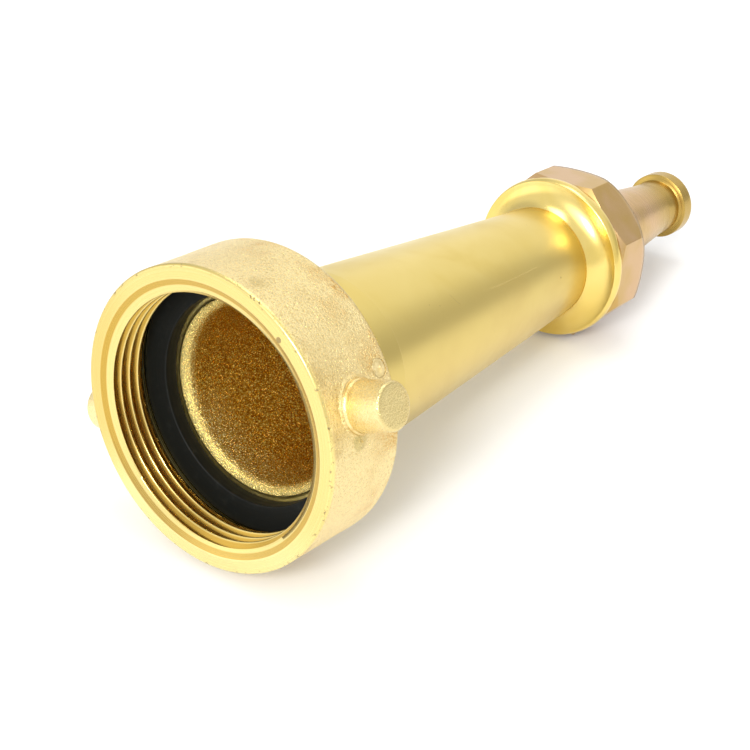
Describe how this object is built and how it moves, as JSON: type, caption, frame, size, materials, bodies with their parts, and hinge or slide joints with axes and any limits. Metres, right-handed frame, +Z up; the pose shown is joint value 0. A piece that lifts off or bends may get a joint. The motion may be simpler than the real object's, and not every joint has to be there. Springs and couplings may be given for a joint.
{
  "type": "fire hose nozzle",
  "caption": "Straight-stream fire hose nozzle: a swivelling hose coupling with spanner lugs, a tapered barrel with a flange, and a screw-off octagonal tip.",
  "frame": {"origin": "centre of the mouth face, where the hose screws in", "axes": "+Y runs along the waterway from the mouth to the tip, +Z is up and square to one flat of the octagonal tip base, +X is to the right looking along +Y"},
  "size_m": [0.113, 0.2627, 0.091],
  "materials": {
    "cast_brass": "sand-cast outside with a machined face and thread",
    "turned_brass": "satin turned brass, polished at the flange",
    "bronze": "pinkish turned bronze, satin",
    "plug_brass": "peened brass",
    "gasket_rubber": "smooth black rubber",
    "washer_rubber": "matt black rubber",
    "ball_steel": "bright stainless steel"
  },
  "bodies": {
    "barrel": {"barrel": "turned_brass"},
    "coupling": {"swivel_coupling": "cast_brass", "inlet_gasket": "gasket_rubber", "ball_fill_plug": "plug_brass"},
    "ball_ring": {"swivel_ball_01": "ball_steel", "swivel_ball_02": "ball_steel", "swivel_ball_03": "ball_steel", "swivel_ball_04": "ball_steel", "swivel_ball_05": "ball_steel", "swivel_ball_06": "ball_steel", "swivel_ball_07": "ball_steel", "swivel_ball_08": "ball_steel", "swivel_ball_09": "ball_steel", "swivel_ball_10": "ball_steel", "swivel_ball_11": "ball_steel", "swivel_ball_12": "ball_steel", "swivel_ball_13": "ball_steel", "swivel_ball_14": "ball_steel", "swivel_ball_15": "ball_steel", "swivel_ball_16": "ball_steel", "swivel_ball_17": "ball_steel", "swivel_ball_18": "ball_steel", "swivel_ball_19": "ball_steel", "swivel_ball_20": "ball_steel", "swivel_ball_21": "ball_steel", "swivel_ball_22": "ball_steel", "swivel_ball_23": "ball_steel", "swivel_ball_24": "ball_steel", "swivel_ball_25": "ball_steel", "swivel_ball_26": "ball_steel", "swivel_ball_27": "ball_steel", "swivel_ball_28": "ball_steel", "swivel_ball_29": "ball_steel", "swivel_ball_30": "ball_steel", "swivel_ball_31": "ball_steel", "swivel_ball_32": "ball_steel", "swivel_ball_33": "ball_steel", "swivel_ball_34": "ball_steel", "swivel_ball_35": "ball_steel", "swivel_ball_36": "ball_steel", "swivel_ball_37": "ball_steel", "swivel_ball_38": "ball_steel", "swivel_ball_39": "ball_steel", "swivel_ball_40": "ball_steel", "swivel_ball_41": "ball_steel", "swivel_ball_42": "ball_steel", "swivel_ball_43": "ball_steel", "swivel_ball_44": "ball_steel", "swivel_ball_45": "ball_steel", "swivel_ball_46": "ball_steel", "swivel_ball_47": "ball_steel", "swivel_ball_48": "ball_steel"},
    "tip_seat": {"tip_washer": "washer_rubber"},
    "tip": {"discharge_tip": "bronze"}
  },
  "joints": [
    {"name": "coupling_swivel", "type": "hinge", "parent": "barrel", "child": "coupling", "pos_m": [0, 0.0254, 0], "axis": [0, 1, 0], "continuous": true},
    {"name": "ball_orbit", "type": "hinge", "parent": "barrel", "child": "ball_ring", "pos_m": [0, 0.0254, 0], "axis": [0, 1, 0], "continuous": true},
    {"name": "tip_travel", "type": "slide", "parent": "barrel", "child": "tip_seat", "axis": [0, 1, 0], "range_m": [0, 0.01039]},
    {"name": "tip_turn", "type": "hinge", "parent": "tip_seat", "child": "tip", "pos_m": [0, 0.19, 0], "axis": [0, 1, 0], "range_deg": [0, 1620]}
  ],
  "couplings": [
    {"joint": "ball_orbit", "follows": "coupling_swivel", "ratio": 0.5309},
    {"joint": "tip_travel", "follows": "tip_turn", "m_per_rad": 0.0003675}
  ]
}
